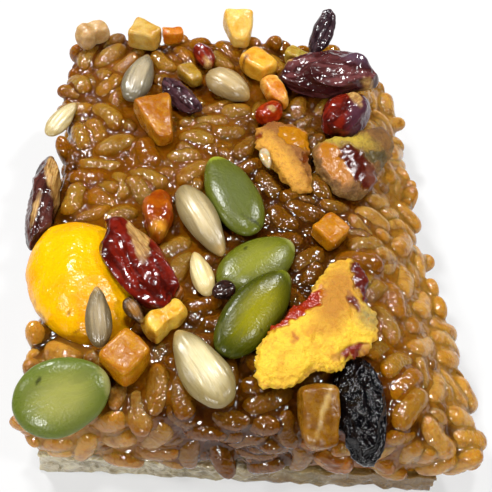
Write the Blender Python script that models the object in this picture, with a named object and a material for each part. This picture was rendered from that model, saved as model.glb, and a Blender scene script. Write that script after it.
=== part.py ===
"""Hand-cut block of sweet sticky rice cake, with nuts, seeds and torn jujube pressed into its top.

World frame: +X right, +Y away from the front edge, +Z up. The origin is the middle of the flat
underside. Lengths below are in millimetres and become metres when an object is made.
"""
import math
import random

import bmesh
import bpy
from mathutils import Euler, Matrix, Vector, noise
from mathutils.bvhtree import BVHTree

MM = 0.001

# Driving dimensions of the block.
HALF_WIDTH = 28.5       # of the pressed bottom layer, at the front
HALF_DEPTH = 36.8
BASE_RIGHT_BACK = 20.2  # right edge of the bottom layer, at the back
BASE_HEIGHT = 4.8       # the greyish layer under the rice
RICE_LEFT = 28.9        # left edge of the rice core, halfway back
RICE_INSET = 1.1        # of the core behind the front of the bottom layer, for the grains
RICE_HEIGHT = 18.0      # top of the bare rice core
LIP_HEIGHT = 9.2        # where the right slope turns under
LIP_BACK = 24.6         # right edge of the rice core, at the back
LIP_SPREAD = 9.6        # how much further out it runs at the front
UNDERCUT = 4.2          # of the core below the lip
SLOPE_RUN = 15.0        # from the flat top to the lip
SLOPE_POWER = 1.7       # over 1 rounds the slope's shoulder
CORNER_RADIUS = 7.0     # front right corner, seen from above
EDGE_DROP = 1.1         # softness of the top's edges
RELIEF = 0.45           # unevenness of the core

# Grains.
GRAIN_LENGTH = 6.2
GRAIN_WIDTH = 3.1
GRAIN_SPACING = 4.3
GRAIN_TRIES = 9000
GRAIN_TILT = 0.22       # of a grain's length out of the surface
GRAIN_RISE = 0.45       # of a grain's middle over the surface
SEED = 11

# Fitting.
GAP = 0.3               # between neighbouring solids
LIFT_GAP = 1.4 * GAP    # under a piece that was lifted onto another
LIFT_SPREAD = 0.5       # least thickness left where a piece is pressed flat
PRESS_GAP = 1.6 * GAP   # beside a piece that gave way to another
REACH = 8.0             # farther neighbours are not looked at
FIT_ROUNDS = 14         # each shrinks a piece that still touches a neighbour
SHRINK = 0.97

DOWN = Vector((0, 0, -1))
SKY = 60.0              # above everything

PARTS = "sticky_rice_cake"
TOOLS = "boolean_tools"


# ---------------------------------------------------------------- scene and objects
def clear_scene():
    for thing in list(bpy.data.objects):
        bpy.data.objects.remove(thing, do_unlink=True)
    for name in (PARTS, TOOLS):
        bpy.context.scene.collection.children.link(bpy.data.collections.new(name))


def material(name, color, roughness):
    """A plain Principled material; nothing in this food is metallic."""
    mat = bpy.data.materials.new(name)
    mat.use_nodes = True
    shader = mat.node_tree.nodes["Principled BSDF"]
    shader.inputs["Base Color"].default_value = (*color, 1)
    shader.inputs["Roughness"].default_value = roughness
    shader.inputs["Metallic"].default_value = 0
    mat.diffuse_color = (*color, 1)
    return mat


def frame_of(place):
    """Matrix of a place: x, y, z, yaw, pitch (raises the +X end), roll (raises the +Y side)."""
    x, y, z, yaw, pitch, roll = place
    turn = Euler((math.radians(roll), math.radians(-pitch), math.radians(yaw)), "XYZ")
    return Matrix.Translation((x, y, z)) @ turn.to_matrix().to_4x4()


def add_object(name, bm, frame=Matrix(), mat=None, collection=PARTS, parent=None):
    """Turn a millimetre bmesh into a metre object that stands at frame."""
    mesh = bpy.data.meshes.new(name)
    bmesh.ops.scale(bm, vec=(MM, MM, MM), verts=bm.verts)
    bm.to_mesh(mesh)
    bm.free()
    thing = bpy.data.objects.new(name, mesh)
    bpy.data.collections[collection].objects.link(thing)
    place = frame.copy()
    place.translation *= MM
    thing.matrix_world = place
    if parent:
        thing.parent = parent
    if mat:
        mesh.materials.append(mat)
    mesh.shade_smooth()
    mesh.set_sharp_from_angle(angle=math.radians(50))
    return thing


def world_bmesh(thing):
    """The object's evaluated mesh in world space, in millimetres."""
    bpy.context.view_layer.update()
    shown = thing.evaluated_get(bpy.context.evaluated_depsgraph_get())
    bm = bmesh.new()
    bm.from_mesh(shown.to_mesh())
    bm.transform(Matrix.Scale(1 / MM, 4) @ shown.matrix_world)
    return bm


def tree_of(thing):
    bm = world_bmesh(thing)
    tree = BVHTree.FromBMesh(bm)
    bm.free()
    return tree


# ---------------------------------------------------------------- outlines
def seed_rim(length, width, taper, tip):
    """Outline of a seed: taper narrows it towards +X and tip draws that end to a point."""
    def rim(angle):
        along = math.cos(angle)
        narrow = (1 - taper * along) * (1 - tip * max(along, 0) ** 3)
        return Vector((length / 2 * along, width / 2 * math.sin(angle) * narrow, 0))
    return rim


def torn_rim(*radii):
    """Outline of a torn piece from (degrees, radius) points, rounded between them."""
    knots = sorted((math.radians(degrees % 360), radius) for degrees, radius in radii)

    def rim(angle):
        angle %= math.tau
        last = len(knots) - 1
        right = next((i for i, knot in enumerate(knots) if knot[0] >= angle), 0)
        start, low = knots[right - 1 if right else last]
        end, high = knots[right]
        span = (end - start) % math.tau
        share = ((angle - start) % math.tau) / span
        radius = low + (high - low) * (1 - math.cos(math.pi * share)) / 2
        return Vector((radius * math.cos(angle), radius * math.sin(angle), 0))
    return rim


# ---------------------------------------------------------------- soft pieces
def pebble(rim, thickness, segments=12, rings=6, blunt=0.8, rough=0.0, wave=3.0, sag=0.0, seed=0):
    """A sphere stretched to an outline: blunt under 1 flattens its faces, rough makes it uneven
    over a distance of wave, and sag curls both ends of its length down."""
    bm = bmesh.new()
    bmesh.ops.create_uvsphere(bm, u_segments=segments, v_segments=rings, radius=1)
    half = max(rim(0).length, rim(math.pi).length)
    shift = Vector((7.3 * seed, 3.1 * seed, 1.7))
    for vert in bm.verts:
        unit = vert.co.copy()
        flat = Vector((unit.x, unit.y, 0)).length
        spot = rim(math.atan2(unit.y, unit.x)) * flat if flat > 1e-6 else Vector()
        spot.z = thickness / 2 * math.copysign(abs(unit.z) ** blunt, unit.z)
        spot += noise.noise_vector(spot / wave + shift) * rough
        spot.z -= sag * (spot.x / half) ** 2
        vert.co = spot
    # The shorter diagonals, so that the facets are the same each time.
    bmesh.ops.triangulate(bm, faces=bm.faces, quad_method="SHORT_EDGE")
    return bm


def chunk(size, rounding, taper, rough=0.35, seed=0):
    """A chopped nut: a box whose corners are rounded off and whose faces are uneven. The taper
    makes it a wedge that narrows towards +X."""
    bm = bmesh.new()
    bmesh.ops.create_cube(bm, size=2)
    cuts = 2 if max(size) > 6 else 1
    bmesh.ops.subdivide_edges(bm, edges=bm.edges, cuts=cuts, use_grid_fill=True)
    shift = Vector((5.9 * seed, 2.7, 4.3 * seed))
    for vert in bm.verts:
        round_spot = vert.co.normalized() * 1.2
        spot = vert.co.lerp(round_spot, rounding)
        spot = Vector([spot[axis] * size[axis] / 2 for axis in range(3)])
        narrow = 1 - taper * (1 + 2 * spot.x / size[0]) / 2
        spot.y *= narrow
        spot.z *= (1 + narrow) / 2
        vert.co = spot + noise.noise_vector(spot / 3 + shift) * rough
    return bm


def fold_down(bm, start, angle, radius):
    """Bend the part of a piece past x = start down round an edge along Y."""
    turn = math.radians(angle)
    for vert in bm.verts:
        past = vert.co.x - start
        if past <= 0:
            continue
        bend = min(past / radius, turn)
        rest = past - bend * radius
        out = radius + vert.co.z
        vert.co.x = start + out * math.sin(bend) + rest * math.cos(bend)
        vert.co.z = out * math.cos(bend) - radius - rest * math.sin(bend)


def settle(bm, frame, thickness, below):
    """Lift what would sink into the pieces below, the underside least and the top most."""
    back = frame.inverted()
    for vert in bm.verts:
        share = 0.5 + 0.5 * max(-1.0, min(1.0, vert.co.z / (thickness / 2)))
        spot = frame @ vert.co
        start = Vector((spot.x, spot.y, SKY))
        floors = [hit.z for hit in (tree.ray_cast(start, DOWN)[0] for tree in below) if hit]
        if floors:
            spot.z = max(spot.z, max(floors) + LIFT_GAP + LIFT_SPREAD * share)
        vert.co = back @ spot


def is_inside(tree, spot):
    """Whether a point lies inside a closed piece: a ray from it leaves an odd number of times."""
    ray = Vector((0.13, 0.07, 1)).normalized()
    inside = False
    hit = tree.ray_cast(spot, ray)[0]
    while hit:
        inside = not inside
        hit = tree.ray_cast(hit + ray * 1e-4, ray)[0]
    return inside


def touches(bm, frame, neighbours):
    """Whether a piece comes within half the gap of a neighbour anywhere."""
    skin = bm.copy()
    skin.normal_update()
    for vert, normal in [(vert, vert.normal.copy()) for vert in skin.verts]:
        vert.co += normal * (GAP / 2)
    skin.transform(frame)
    tree = BVHTree.FromBMesh(skin)
    skin.free()
    return any(tree.overlap(neighbour) for neighbour in neighbours)


def push_out(bm, frame, neighbours):
    """Move the points that press into a neighbour back out to the gap, as soft pieces do."""
    back = frame.inverted()
    for tree in neighbours:
        for vert in bm.verts:
            spot = frame @ vert.co
            near, _, _, distance = tree.find_nearest(spot, REACH)
            if near is None or distance < 1e-6:
                continue
            inside = is_inside(tree, spot)
            if inside or distance < PRESS_GAP:
                away = (spot - near) / distance * (-1 if inside else 1)
                vert.co = back @ (near + away * PRESS_GAP)


def fit_in(bm, frame, thickness, below, neighbours):
    """Lay a piece on what is below it and make it give way to its neighbours."""
    settle(bm, frame, thickness, below)
    for _ in range(FIT_ROUNDS):
        push_out(bm, frame, neighbours)
        settle(bm, frame, thickness, below[:1])
        if not touches(bm, frame, [*below[:1], *neighbours]):
            return True
        bmesh.ops.scale(bm, vec=(SHRINK, SHRINK, SHRINK), verts=bm.verts)
    return False


# ---------------------------------------------------------------- the block
def base_right(y):
    """Right edge of the bottom layer, which runs out towards the front."""
    return BASE_RIGHT_BACK + (HALF_WIDTH - BASE_RIGHT_BACK) * ((HALF_DEPTH - y) / (2 * HALF_DEPTH)) ** 2


def lip(y):
    """Right edge of the rice core, with a rounded front corner."""
    edge = LIP_BACK + LIP_SPREAD * ((HALF_DEPTH - y) / (2 * HALF_DEPTH)) ** 2
    past = min(max(-(HALF_DEPTH - CORNER_RADIUS) - y, 0), CORNER_RADIUS)
    return edge - CORNER_RADIUS + math.sqrt(CORNER_RADIUS ** 2 - past ** 2)


def rice_left(y):
    """Left edge of the rice core: slightly slanted and wavy."""
    return -RICE_LEFT - 0.046 * y + 0.5 * math.sin(y / 5.5)


def rice_top(x, y):
    """Height of the bare core: flat, then a rounded slope down to the lip."""
    past = min(max((x - lip(y) + SLOPE_RUN) / SLOPE_RUN, 0), 1)
    return RICE_HEIGHT - (RICE_HEIGHT - LIP_HEIGHT) * past ** SLOPE_POWER


def box_grid(across, deep, high):
    """A cube from -1 to 1, cut into a grid of across x deep x high faces."""
    bm = bmesh.new()
    bmesh.ops.create_cube(bm, size=2)
    for axis, cells in enumerate((across, deep, high)):
        for cell in range(1, cells):
            at = Vector()
            at[axis] = -1 + 2 * cell / cells
            normal = Vector()
            normal[axis] = 1
            geom = bm.verts[:] + bm.edges[:] + bm.faces[:]
            bmesh.ops.bisect_plane(bm, geom=geom, dist=1e-6, plane_co=at, plane_no=normal)
    return bm


def base_layer():
    """The thin pressed layer: a flat underside and wavy sides."""
    bm = box_grid(8, 10, 1)
    for vert in bm.verts:
        u, v, w = vert.co
        y = v * HALF_DEPTH
        left = -HALF_WIDTH + 0.5 * (1 + math.sin(y / 4.2))
        x = left + (base_right(y) - left) * (u + 1) / 2
        inset = 0.4 * (1 + math.sin(x / 3.1)) * abs(v) ** 6
        vert.co = (x, y - math.copysign(inset, v), (w + 1) / 2 * BASE_HEIGHT)
    return bm


def rice_core():
    """The rice without its grains, standing just clear of the bottom layer."""
    bm = box_grid(11, 10, 2)
    floor = BASE_HEIGHT + GAP
    for vert in bm.verts:
        u, v, w = vert.co
        up = (w + 1) / 2
        y = v * (HALF_DEPTH - RICE_INSET - 0.8 * up)
        left = rice_left(y)
        high_x = left + (lip(y) - left) * (u + 1) / 2
        low_x = left + (lip(y) - UNDERCUT - left) * (u + 1) / 2
        x = low_x + (high_x - low_x) * math.sqrt(up)
        soft_edge = EDGE_DROP * max(abs(v), -u) ** 8
        z = floor + (rice_top(high_x, y) - soft_edge - floor) * up
        spot = Vector((x, y, z))
        relief = noise.noise_vector(spot / 7) * RELIEF
        if w == -1:
            relief.z = 0
        vert.co = spot + relief
    return bm


def applied(thing):
    """Apply every modifier of an object, leaving a plain mesh."""
    bpy.context.view_layer.update()
    shown = thing.evaluated_get(bpy.context.evaluated_depsgraph_get())
    mesh = bpy.data.meshes.new_from_object(shown)
    thing.modifiers.clear()
    thing.data = mesh


def combine(thing, operation, pieces, solver="EXACT"):
    """One Boolean of a collection of tool objects, applied, with the tools then removed."""
    tools = bpy.data.collections[TOOLS]
    for bm in pieces:
        tool = add_object("tool", bm, collection=TOOLS)
        tool.hide_render = True
        tool.display_type = "WIRE"
    joiner = thing.modifiers.new(operation.lower(), "BOOLEAN")
    joiner.operation = operation
    joiner.operand_type = "COLLECTION"
    joiner.collection = tools
    joiner.solver = solver
    applied(thing)
    for tool in list(tools.objects):
        bpy.data.objects.remove(tool, do_unlink=True)


def swollen(thing, amount):
    """A world-space copy of an object, pushed out along its normals, to cut a pocket with."""
    bm = world_bmesh(thing)
    bm.normal_update()
    for vert, normal in [(vert, vert.normal.copy()) for vert in bm.verts]:
        vert.co += normal * amount
    return bm


def outer_shell_only(thing):
    """Drop loose scraps and sealed hollows: only the largest connected shell stays."""
    bm = bmesh.new()
    bm.from_mesh(thing.data)
    bmesh.ops.triangulate(bm, faces=bm.faces)
    unseen = set(bm.faces)
    shells = []
    while unseen:
        shell, border = set(), [unseen.pop()]
        while border:
            face = border.pop()
            shell.add(face)
            near = {other for edge in face.edges for other in edge.link_faces} & unseen
            unseen -= near
            border.extend(near)
        shells.append(shell)
    shells.sort(key=len)
    for shell in shells[:-1]:
        bmesh.ops.delete(bm, geom=list(shell), context="FACES")
    bm.to_mesh(thing.data)
    bm.free()


# ---------------------------------------------------------------- rice grains
def is_clear(center, axis, trees):
    """Whether a grain keeps its gap to every topping and to the bottom layer."""
    for share in (-0.85, -0.45, 0, 0.45, 0.85):
        spot = center + axis * (share * GRAIN_LENGTH / 2)
        reach = GRAIN_WIDTH / 2 * math.sqrt(1 - share ** 2) + 1.2 * GAP
        if spot.z - reach < BASE_HEIGHT + GAP:
            return False
        for tree in trees:
            near, _, _, distance = tree.find_nearest(spot, REACH)
            if near and (distance < reach or is_inside(tree, spot)):
                return False
    return True


def grain(center, axis, normal, size):
    """One cooked grain: a plump spindle with few sides."""
    bm = bmesh.new()
    bmesh.ops.create_uvsphere(bm, u_segments=5, v_segments=4, radius=0.5)
    side = normal.cross(axis).normalized()
    turn = Matrix((side, axis.cross(side), axis)).transposed().to_4x4()
    stretch = Matrix.Diagonal((GRAIN_WIDTH, GRAIN_WIDTH * 0.9, GRAIN_LENGTH, 1))
    bm.transform(Matrix.Translation(center) @ turn @ stretch @ Matrix.Scale(size, 4))
    return bm


def grains_on(bm, trees):
    """Grains laid evenly over a bare core's top, slope and walls, in a seeded order."""
    draw = random.Random(SEED)
    bmesh.ops.triangulate(bm, faces=bm.faces, quad_method="SHORT_EDGE")
    faces = [face for face in bm.faces if face.normal.z > -0.4]
    areas = [face.calc_area() for face in faces]
    centers, grains = [], []
    for face in draw.choices(faces, areas, k=GRAIN_TRIES):
        a, b, c = (vert.co for vert in face.verts)
        s, t = sorted((draw.random(), draw.random()))
        spot = a * s + b * (t - s) + c * (1 - t)
        flat = face.normal.orthogonal().normalized()
        flat.rotate(Matrix.Rotation(draw.uniform(0, math.tau), 3, face.normal))
        axis = (flat + face.normal * draw.uniform(-GRAIN_TILT, GRAIN_TILT)).normalized()
        center = spot + face.normal * draw.uniform(0, GRAIN_RISE)
        if any((center - other).length < GRAIN_SPACING for other in centers):
            continue
        if is_clear(center, axis, trees):
            centers.append(center)
            grains.append(grain(center, axis, face.normal, draw.uniform(0.88, 1.08)))
    bm.free()
    return grains


# ---------------------------------------------------------------- materials
def palette():
    return {
        "rice": material("rice_amber", (0.36, 0.17, 0.035), 0.25),
        "base": material("base_grey", (0.22, 0.17, 0.09), 0.35),
        "chestnut": material("chestnut_yellow", (0.90, 0.48, 0.02), 0.25),
        "green": material("pumpkin_green", (0.20, 0.27, 0.05), 0.35),
        "ivory": material("kernel_ivory", (0.62, 0.50, 0.30), 0.45),
        "husk": material("husk_brown", (0.30, 0.18, 0.06), 0.5),
        "nut": material("nut_tan", (0.72, 0.36, 0.08), 0.4),
        "amber": material("candied_amber", (0.60, 0.16, 0.02), 0.2),
        "skin": material("jujube_skin", (0.12, 0.015, 0.012), 0.25),
        "flesh": material("jujube_flesh", (0.75, 0.38, 0.05), 0.6),
        "prune": material("prune_black", (0.010, 0.008, 0.008), 0.2),
    }


# ---------------------------------------------------------------- toppings
# Each row: name, material, place (x, y, z, yaw, pitch, roll), then the shape's own sizes.
PUMPKIN_SEEDS = (       # length, width, thickness
    ("pumpkin_seed_1", (-2.7, 0.2, 19.9, 114, 0, 0), 16.4, 7.7, 3.0),
    ("pumpkin_seed_2", (1.3, -12.4, 20.0, 40, 0, 0), 13.4, 7.9, 3.2),
    ("pumpkin_seed_3", (1.1, -21.4, 21.6, 56, 4, 22), 15.8, 7.2, 3.6),
    ("pumpkin_seed_4", (-22.6, -34.3, 19.8, 24, 6, 33), 12.8, 9.8, 3.0),
)
KERNELS = (             # length, width, thickness
    ("sunflower_kernel_1", (-19.4, 24.3, 20.0, 80, 0, 0), 11.7, 4.8, 3.2),
    ("sunflower_kernel_2", (-4.4, 23.7, 20.1, -38, 0, 0), 9.4, 5.4, 3.4),
    ("sunflower_kernel_3", (-7.0, -5.2, 20.2, -61, 0, 0), 14.8, 5.2, 3.4),
    ("sunflower_kernel_4", (-6.4, -14.4, 19.8, 111, 0, 0), 9.0, 3.6, 2.8),
    ("sunflower_kernel_5", (-5.4, -29.7, 20.9, 126, 4, 0), 13.6, 6.8, 3.6),
    ("sunflower_kernel_6", (-19.2, -24.2, 22.8, 99, 30, 0), 8.4, 3.4, 2.2),
    ("sunflower_kernel_7", (-30.9, 15.0, 18.6, 62, 8, 10), 8.0, 3.2, 1.6),
    ("husk_seed", (-14.9, -22.4, 21.9, -49, -18, 0), 4.2, 2.2, 1.6),
)
NUTS = (                # size, rounding, taper
    ("nut_1", (-15.2, -29.0, 21.0, 53, 0, 4), (5.6, 5.4, 4.8), 0.30, 0.10),
    ("nut_2", (-10.9, -22.5, 20.2, 45, 0, 0), (6.4, 3.8, 3.6), 0.45, 0.25),
    ("nut_3", (-15.3, 14.4, 20.2, -70, 0, 0), (9.0, 6.4, 4.2), 0.30, 0.60),
    ("nut_4", (0.4, 28.7, 20.6, -40, 0, 0), (5.6, 4.6, 3.8), 0.45, 0.20),
    ("nut_5", (3.3, 22.5, 20.2, -68, 0, 0), (6.8, 3.6, 3.4), 0.60, 0.30),
    ("nut_6", (-3.3, 34.2, 23.4, -80, -20, 0), (5.6, 5.4, 4.4), 0.30, 0.55),
    ("nut_7", (-19.3, 33.7, 21.0, -20, 0, 0), (5.2, 4.4, 3.8), 0.30, 0.30),
    ("nut_8", (-14.8, 34.2, 21.2, 10, 0, 0), (4.6, 2.8, 2.6), 0.30, 0.20),
    ("nut_9", (-28.4, 33.5, 20.8, 35, 0, 0), (5.4, 3.6, 3.6), 0.60, 0.10),
    ("nut_10", (11.9, -5.7, 20.0, 50, 0, 6), (4.6, 4.4, 3.0), 0.20, 0.10),
    ("nut_11", (-11.0, 25.8, 19.8, -55, 0, 0), (4.2, 3.2, 2.6), 0.35, 0.20),
    ("nut_12", (7.2, 31.6, 19.9, -30, 0, 0), (4.4, 2.8, 2.8), 0.40, 0.20),
    ("nut_13", (-10.3, -17.8, 19.6, -21, 0, 0), (3.0, 2.8, 2.4), 0.40, 0.10),
    ("nut_14", (10.0, -34.4, 18.4, -84, -28, 0), (8.0, 5.8, 4.6), 0.55, 0.20),
)
TORN_PIECES = (         # outline, thickness, roughness, sag, material
    ("candied_fruit", (-13.4, -4.8, 19.9, -86, 0, 0), seed_rim(9.6, 4.6, 0.2, 0.2), 3.8, 0.4, 0, "amber"),
    ("jujube_1", (12.3, 26.2, 21.6, 2, 4, 0), seed_rim(16.6, 7.4, 0.05, -0.3), 5.6, 0.9, 0, "skin"),
    ("jujube_2", (10.7, 32.9, 24.4, 62, 52, 0), seed_rim(8.2, 3.5, -0.2, 0), 1.8, 0.4, 0, "skin"),
    ("jujube_3", (14.9, 18.6, 19.8, 58, 0, -8), seed_rim(11.4, 7.4, -0.1, -0.2), 5.6, 0.7, 0.5, "skin"),
    ("jujube_4", (16.3, 9.9, 18.8, 0, -16, 0),
     torn_rim((172, 7.2), (145, 5.0), (112, 3.2), (80, 5.2), (68, 9.8), (50, 10.4), (25, 7.6), (5, 4.6),
              (-45, 3.8), (-74, 7.4), (-95, 8.8), (-125, 7.6), (-160, 7.0)), 4.2, 0.5, 0, "flesh"),
    ("jujube_5", (4.6, 8.8, 19.9, 0, 0, 0),
     torn_rim((127, 6.6), (165, 3.4), (-119, 2.6), (-80, 5.8), (-64, 8.8), (-40, 5.2), (10, 4.0),
              (58, 6.8), (95, 6.2)), 3.0, 0.5, 0, "flesh"),
    ("jujube_6", (2.4, 17.5, 20.2, 30, 0, 0), seed_rim(4.9, 3.7, 0, 0), 3.2, 0.4, 0, "skin"),
    ("jujube_7", (-30.8, -2.1, 18.4, -88, 0, 0), seed_rim(19.0, 4.2, 0, -0.3), 5.6, 0.6, 0, "skin"),
    ("jujube_8", (-14.9, -15.0, 22.3, 0, -6, 0),
     torn_rim((122, 9.2), (106, 6.8), (84, 3.4), (45, 3.2), (15, 4.6), (-25, 5.4), (-56, 7.2),
              (-74, 7.0), (-95, 4.6), (-152, 3.6), (167, 5.0), (145, 5.8)), 4.4, 0.6, 0.4, "skin"),
    ("jujube_9", (9.4, -22.4, 21.8, 0, 0, 6),
     torn_rim((-131, 11.6), (-143, 10.2), (-156, 8.0), (178, 4.2), (130, 2.8), (98, 3.4), (84, 7.4),
              (72, 9.6), (60, 11.0), (40, 9.0), (24, 6.9), (4, 7.9), (-20, 7.6), (-49, 6.5),
              (-76, 7.6), (-93, 5.6), (-106, 10.0)), 3.4, 0.5, 0, "flesh"),
    ("jujube_10", (-12.0, 20.2, 20.0, -44, 0, 0), seed_rim(8.6, 3.8, 0, -0.2), 2.8, 0.6, 0, "skin"),
    ("jujube_11", (-9.0, 30.7, 20.0, -55, 0, 0), seed_rim(5.8, 3.0, 0, 0), 2.4, 0.4, 0, "skin"),
    ("jujube_12", (-3.2, -18.0, 21.4, 39, 0, 0), seed_rim(3.6, 2.6, 0, 0), 1.8, 0.2, 0, "skin"),
    ("jujube_13", (13.2, -35.8, 8.4, -20, -12, 90), seed_rim(6.0, 5.0, 0, 0), 3.0, 0.4, 0, "amber"),
    ("nut_flake", (2.0, 6.6, 21.4, -73, 0, 0), seed_rim(3.8, 1.7, 0.3, 0), 1.0, 0.1, 0, "ivory"),
)
PRUNE_PLACE = (15.3, -33.0, 18.2, -84, 0, 0)
CHESTNUT_PLACE = (-22.5, -16.0, 17.0, -62, 0, 0)

# These are pressed into the rice, which has a pocket for each; the others lie on it.
SUNKEN = {"chestnut", "prune", "jujube_7", "jujube_13", "nut_14"}

# Pieces that lie partly on another topping.
LIES_ON = {
    "pumpkin_seed_3": ("pumpkin_seed_2",),
    "sunflower_kernel_6": ("chestnut",),
    "husk_seed": ("chestnut",),
    "jujube_8": ("chestnut",),
    "jujube_9": ("prune",),
    "nut_flake": ("jujube_5",),
    "jujube_12": ("pumpkin_seed_2", "sunflower_kernel_4"),
}


def chestnut():
    return pebble(seed_rim(22.4, 15.2, 0.06, 0), 11.0, 20, 10, blunt=0.9, rough=0.7, wave=6, seed=3)


def prune():
    bm = pebble(seed_rim(15.4, 6.8, 0.12, -0.1), 5.0, 16, 8, blunt=0.8, rough=0.6, wave=3.5, seed=5)
    fold_down(bm, 3.2, 62, 2.6)
    return bm


def topping_shapes():
    """Every topping as (name, material, place, thickness, bmesh), the lower ones first."""
    yield "chestnut", "chestnut", CHESTNUT_PLACE, 11.0, chestnut()
    yield "prune", "prune", PRUNE_PLACE, 5.0, prune()
    for name, place, length, width, thick in PUMPKIN_SEEDS:
        yield name, "green", place, thick, pebble(seed_rim(length, width, 0.10, 0.10), thick, 14, 6)
    for name, place, length, width, thick in KERNELS:
        look = "husk" if name == "husk_seed" else "ivory"
        yield name, look, place, thick, pebble(seed_rim(length, width, 0.25, 0.35), thick, 10, 6)
    for number, (name, place, outline, thick, rough, sag, look) in enumerate(TORN_PIECES):
        sides = 28 if name == "jujube_9" else 12
        bm = pebble(outline, thick, sides, 6, blunt=0.6, rough=rough, sag=sag, seed=number)
        yield name, look, place, thick, bm
    for number, (name, place, size, rounding, taper) in enumerate(NUTS):
        yield name, "nut", place, size[2], chunk(size, rounding, taper, seed=number)


def main():
    clear_scene()
    noise.seed_set(SEED)
    looks = palette()
    root = bpy.data.objects.new("cake_root", None)
    bpy.data.collections[PARTS].objects.link(root)

    base = add_object("base_layer", base_layer(), mat=looks["base"], parent=root)
    rice = add_object("rice_block", rice_core(), mat=looks["rice"], parent=root)

    toppings = {}
    loose = []
    for name, look, place, thick, bm in topping_shapes():
        if name in SUNKEN:
            fit_in(bm, frame_of(place), thick, [], [tree_of(piece) for piece in toppings.values()])
            toppings[name] = add_object(name, bm, frame_of(place), looks[look], parent=root)
        else:
            loose.append((name, look, frame_of(place), thick, bm))
    bare_core = world_bmesh(rice)
    combine(rice, "DIFFERENCE", [swollen(piece, 1.1 * GAP) for piece in toppings.values()])

    rice_tree = tree_of(rice)
    trees = {name: tree_of(piece) for name, piece in toppings.items()}
    for name, look, frame, thick, bm in loose:
        below = [rice_tree] + [trees[other] for other in LIES_ON.get(name, ())]
        if not fit_in(bm, frame, thick, below, list(trees.values())):
            raise RuntimeError(f"{name} has no room where it is placed")
        toppings[name] = add_object(name, bm, frame, looks[look], parent=root)
        trees[name] = tree_of(toppings[name])

    # EXACT leaves grains touching along edges here; MANIFOLD keeps the union clean.
    grains = grains_on(bare_core, [*trees.values(), tree_of(base)])
    combine(rice, "UNION", grains, "MANIFOLD")
    outer_shell_only(rice)


main()
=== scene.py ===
"""Block of sweet sticky rice cake under a cover of seeds, nuts, chestnut, prune and jujube.

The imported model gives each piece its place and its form. The sections follow the cake from the
bottom up, and then light it. Lengths are millimetres until a mesh is made.
"""
import math
import random

import bmesh
import bpy
import numpy as np
from mathutils import Matrix, Vector, noise
from mathutils.bvhtree import BVHTree


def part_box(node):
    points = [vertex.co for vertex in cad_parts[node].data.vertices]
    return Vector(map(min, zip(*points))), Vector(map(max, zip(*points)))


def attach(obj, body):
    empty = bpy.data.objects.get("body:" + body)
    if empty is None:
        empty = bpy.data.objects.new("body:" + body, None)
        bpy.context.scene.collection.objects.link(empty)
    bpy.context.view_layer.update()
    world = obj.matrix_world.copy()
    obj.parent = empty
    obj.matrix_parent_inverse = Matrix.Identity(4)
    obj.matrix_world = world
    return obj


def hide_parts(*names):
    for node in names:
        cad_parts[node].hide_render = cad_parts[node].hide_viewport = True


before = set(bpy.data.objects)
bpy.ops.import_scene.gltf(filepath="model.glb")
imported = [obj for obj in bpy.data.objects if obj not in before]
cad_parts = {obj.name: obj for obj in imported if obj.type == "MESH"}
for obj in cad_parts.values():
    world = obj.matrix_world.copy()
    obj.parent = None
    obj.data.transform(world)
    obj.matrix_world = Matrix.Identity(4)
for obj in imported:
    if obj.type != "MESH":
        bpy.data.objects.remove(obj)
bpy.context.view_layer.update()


# ---------------------------------------------------------------- bottom layer
# A thin sheet of rice, pressed hard and damp, so that it has gone greyish and slightly clear.
# Its cut sides are crinkled like wet film, and it runs out wider towards the front.
MM = 0.001
BASE_HIGH = 4.8
HALF_DEEP = 36.8
BASE_LEFT = -28.5
BASE_RIGHT = 28.5
BASE_RIGHT_BACK = 20.2
SHEET_CELLS = (80, 96, 8)
LEFT_WAVE = 0.5          # depth of the slow waves along the left edge
SIDE_INSET = 0.45        # how far the crinkled sides lie inside the outline
FOLD_DEEP = 0.55
CREASE_DEEP = 0.22
RAGGED = 1.6             # how far the lower edge lifts where it is torn
OLIVE = (0.128, 0.093, 0.03)
CLEAR_GREY = (0.289, 0.23, 0.111)
BROWN_FILM = (0.128, 0.064, 0.01)
WHITE_CREASE_HIGHLIGHT = (0.50, 0.45, 0.33)


class Wire:
    """One output of a shader node; each sum with it adds a Math node."""

    def __init__(self, finish, socket):
        self.finish = finish
        self.socket = socket

    def sum(self, operation, first, second):
        return self.finish.node("Math", {"operation": operation}, {0: first, 1: second})

    def __add__(self, other):
        return self.sum("ADD", self, other)

    def __radd__(self, other):
        return self.sum("ADD", other, self)

    def __sub__(self, other):
        return self.sum("SUBTRACT", self, other)

    def __rsub__(self, other):
        return self.sum("SUBTRACT", other, self)

    def __mul__(self, other):
        return self.sum("MULTIPLY", self, other)

    def __rmul__(self, other):
        return self.sum("MULTIPLY", other, self)


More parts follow.
